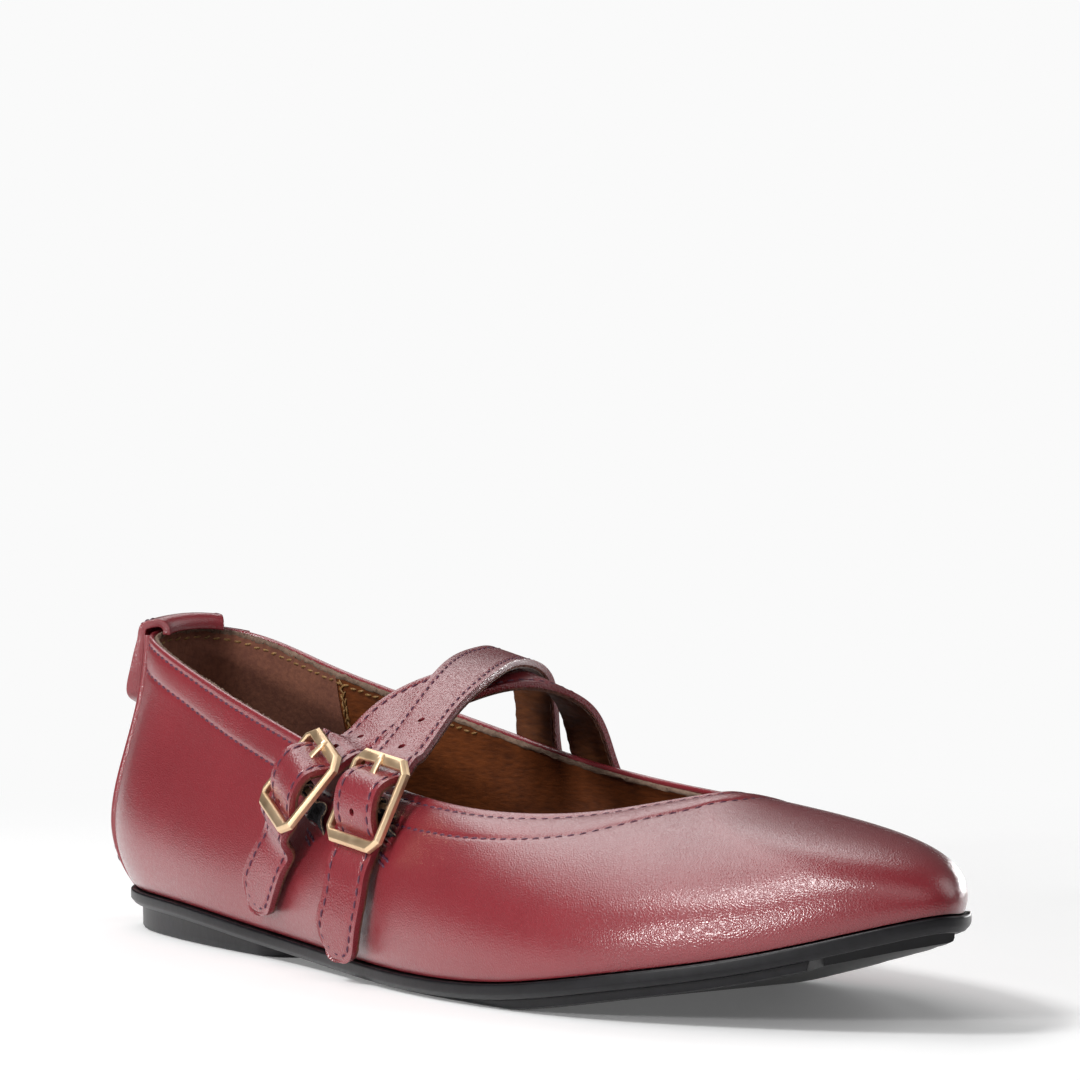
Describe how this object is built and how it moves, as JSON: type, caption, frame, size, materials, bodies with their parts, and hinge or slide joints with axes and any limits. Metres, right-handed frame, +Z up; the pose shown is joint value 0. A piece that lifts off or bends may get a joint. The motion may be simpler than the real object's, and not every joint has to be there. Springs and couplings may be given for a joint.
{
  "type": "strapped ballet flat shoe",
  "caption": "Low leather flat shoe for the right foot with a wide open throat, crossing buckled straps over the instep and a thin rubber sole.",
  "frame": {"origin": "middle of the shoe's footprint box, on the floor that the sole stands on", "axes": "+X from the heel to the toe, +Y to the inner (medial) side, +Z up"},
  "size_m": [0.2533, 0.0786, 0.0617],
  "materials": {
    "upper": "satin smooth grain, burgundy",
    "outsole": "moulded black rubber, satin",
    "insole": "matte brown lining leather",
    "heel_tab": "satin smooth grain, burgundy",
    "strap_over": "satin smooth grain, burgundy",
    "strap_under": "satin smooth grain, burgundy",
    "buckle_frame_front": "polished pale gold plating",
    "buckle_frame_rear": "polished pale gold plating",
    "prong_front": "polished pale gold plating",
    "prong_rear": "polished pale gold plating",
    "keeper_front": "black woven elastic",
    "keeper_rear": "black woven elastic"
  },
  "bodies": {
    "root": {"upper": "upper", "outsole": "outsole", "insole": "insole", "heel_tab": "heel_tab", "strap_over": "strap_over", "strap_under": "strap_under", "buckle_frame_front": "buckle_frame_front", "buckle_frame_rear": "buckle_frame_rear", "prong_front": "prong_front", "prong_rear": "prong_rear", "keeper_front": "keeper_front", "keeper_rear": "keeper_rear"}
  },
  "joints": []
}
